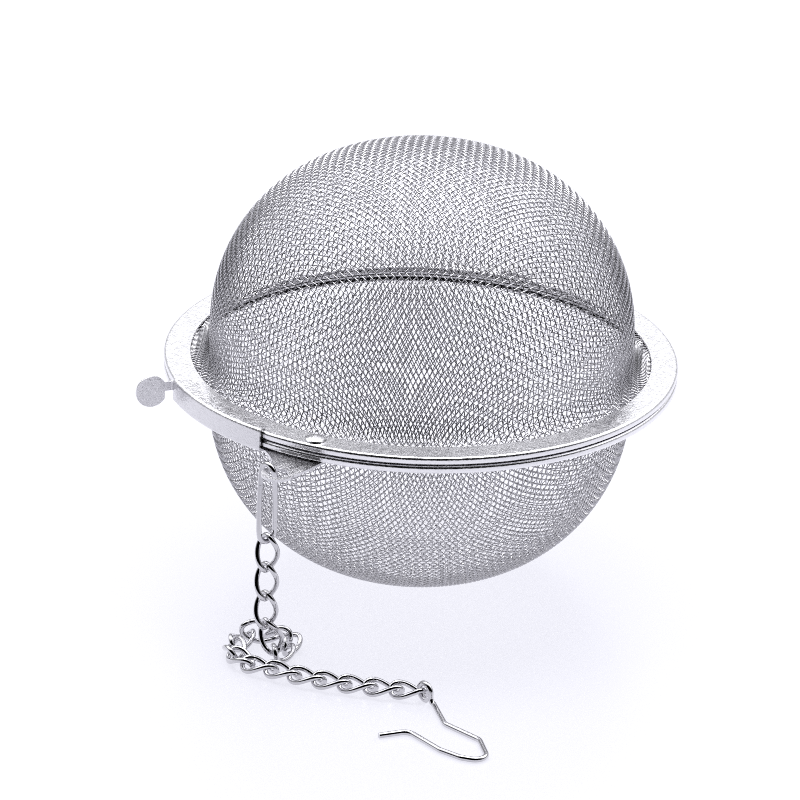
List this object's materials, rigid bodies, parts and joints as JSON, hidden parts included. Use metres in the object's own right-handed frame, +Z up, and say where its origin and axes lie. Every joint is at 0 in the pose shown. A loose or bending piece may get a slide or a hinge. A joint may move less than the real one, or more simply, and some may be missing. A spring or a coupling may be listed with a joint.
{
  "type": "mesh tea infuser",
  "caption": "Hinged wire-mesh ball for loose tea with folded metal rims, a swinging clasp, and a curb chain that ends in a wire hook.",
  "frame": {"origin": "centre of the small flat that the ball stands on, on the table", "axes": "+Z up through the middle of the ball, +Y towards the hinge, -Y towards the clasp rivet, so that +X is the side the hook lies towards"},
  "size_m": [0.1, 0.127, 0.086],
  "materials": {
    "mesh": "satin woven wire",
    "rim": "satin",
    "fitting": "polished",
    "chain": "polished",
    "hook": "polished"
  },
  "bodies": {
    "lower_half": {"lower_mesh": "mesh", "lower_ring": "rim", "hinge_lower_leaf": "fitting", "hinge_pin": "fitting", "clasp_rivet": "fitting"},
    "lid": {"upper_mesh": "mesh", "upper_ring": "rim", "hinge_upper_leaf": "fitting"},
    "clasp": {"clasp": "fitting"},
    "hairpin": {"hairpin_link": "chain"},
    "link_01": {"chain_link_01": "chain"},
    "link_02": {"chain_link_02": "chain"},
    "link_03": {"chain_link_03": "chain"},
    "link_04": {"chain_link_04": "chain"},
    "link_05": {"chain_link_05": "chain"},
    "link_06": {"chain_link_06": "chain"},
    "link_07": {"chain_link_07": "chain"},
    "link_08": {"chain_link_08": "chain"},
    "link_09": {"chain_link_09": "chain"},
    "link_10": {"chain_link_10": "chain"},
    "link_11": {"chain_link_11": "chain"},
    "link_12": {"chain_link_12": "chain"},
    "link_13": {"chain_link_13": "chain"},
    "link_14": {"chain_link_14": "chain"},
    "link_15": {"chain_link_15": "chain"},
    "link_16": {"chain_link_16": "chain"},
    "link_17": {"chain_link_17": "chain"},
    "link_18": {"chain_link_18": "chain"},
    "hook": {"end_hook": "hook"}
  },
  "joints": [
    {"name": "lid_hinge", "type": "hinge", "parent": "lower_half", "child": "lid", "pos_m": [0, 0.05125, 0.0425], "axis": [-1, 0, 0], "range_deg": [0, 170]},
    {"name": "clasp_pivot", "type": "hinge", "parent": "lower_half", "child": "clasp", "pos_m": [0, -0.0474, 0.0425], "axis": [0, 0, 1], "range_deg": [0, 80]},
    {"name": "hairpin_swing", "type": "hinge", "parent": "clasp", "child": "hairpin", "pos_m": [-0.0052, -0.05657, 0.04045], "axis": [0.3616, 0.9323, 0], "range_deg": [-20, 20]},
    {"name": "link_01_swing", "type": "hinge", "parent": "hairpin", "child": "link_01", "pos_m": [-0.0051, -0.05655, 0.02644], "axis": [-0.915, -0.4035, 0], "range_deg": [-20, 20]},
    {"name": "link_02_swing", "type": "hinge", "parent": "link_01", "child": "link_02", "pos_m": [-0.005, -0.0565, 0.02053], "axis": [-0.4035, 0.915, 0], "range_deg": [-20, 20]},
    {"name": "link_03_swing", "type": "hinge", "parent": "link_02", "child": "link_03", "pos_m": [-0.005, -0.0565, 0.01458], "axis": [-0.915, -0.4035, 0], "range_deg": [-20, 20]},
    {"name": "link_04_swing", "type": "hinge", "parent": "link_03", "child": "link_04", "pos_m": [-0.00505, -0.05636, 0.00867], "axis": [0.4035, -0.915, 0], "range_deg": [-15, 20]},
    {"name": "link_05_swing", "type": "hinge", "parent": "link_04", "child": "link_05", "pos_m": [-0.00286, -0.05618, 0.00276], "axis": [0, 0, 1], "range_deg": [-7, 15]},
    {"name": "link_06_swing", "type": "hinge", "parent": "link_05", "child": "link_06", "pos_m": [-0.00289, -0.05161, 0.00194], "axis": [0, 0, -1], "range_deg": [-15, 15]},
    {"name": "link_07_swing", "type": "hinge", "parent": "link_06", "child": "link_07", "pos_m": [-0.00378, -0.04723, 0.00255], "axis": [0, 0, 1], "range_deg": [-15, 15]},
    {"name": "link_08_swing", "type": "hinge", "parent": "link_07", "child": "link_08", "pos_m": [-0.00839, -0.04597, 0.00099], "axis": [0, 0, -1], "range_deg": [-7, 15]},
    {"name": "link_09_swing", "type": "hinge", "parent": "link_08", "child": "link_09", "pos_m": [-0.01284, -0.04881, 0.00216], "axis": [0, 0, 1], "range_deg": [-15, 6]},
    {"name": "link_10_swing", "type": "hinge", "parent": "link_09", "child": "link_10", "pos_m": [-0.01293, -0.05372, 0.00152], "axis": [0, 0, -1], "range_deg": [-5, 15]},
    {"name": "link_11_swing", "type": "hinge", "parent": "link_10", "child": "link_11", "pos_m": [-0.01111, -0.05805, 0.00164], "axis": [0, 0, 1], "range_deg": [-15, 5]},
    {"name": "link_12_swing", "type": "hinge", "parent": "link_11", "child": "link_12", "pos_m": [-0.00677, -0.06037, 0.00147], "axis": [0, 0, -1], "range_deg": [-7, 15]},
    {"name": "link_13_swing", "type": "hinge", "parent": "link_12", "child": "link_13", "pos_m": [-0.00185, -0.06012, 0.00161], "axis": [0, 0, -1], "range_deg": [-15, 15]},
    {"name": "link_14_swing", "type": "hinge", "parent": "link_13", "child": "link_14", "pos_m": [0.00308, -0.06029, 0.0016], "axis": [0, 0, -1], "range_deg": [-15, 15]},
    {"name": "link_15_swing", "type": "hinge", "parent": "link_14", "child": "link_15", "pos_m": [0.00802, -0.05995, 0.0016], "axis": [0, 0, -1], "range_deg": [-15, 15]},
    {"name": "link_16_swing", "type": "hinge", "parent": "link_15", "child": "link_16", "pos_m": [0.01291, -0.05916, 0.0016], "axis": [0, 0, -1], "range_deg": [-15, 15]},
    {"name": "link_17_swing", "type": "hinge", "parent": "link_16", "child": "link_17", "pos_m": [0.01773, -0.05803, 0.0016], "axis": [0, 0, -1], "range_deg": [-15, 15]},
    {"name": "link_18_swing", "type": "hinge", "parent": "link_17", "child": "link_18", "pos_m": [0.02251, -0.05674, 0.0016], "axis": [0, 0, -1], "range_deg": [-15, 15]},
    {"name": "hook_swing", "type": "hinge", "parent": "link_18", "child": "hook", "pos_m": [0.02746, -0.05523, 0.0019], "axis": [0, 0, 1], "range_deg": [-20, 20]}
  ]
}
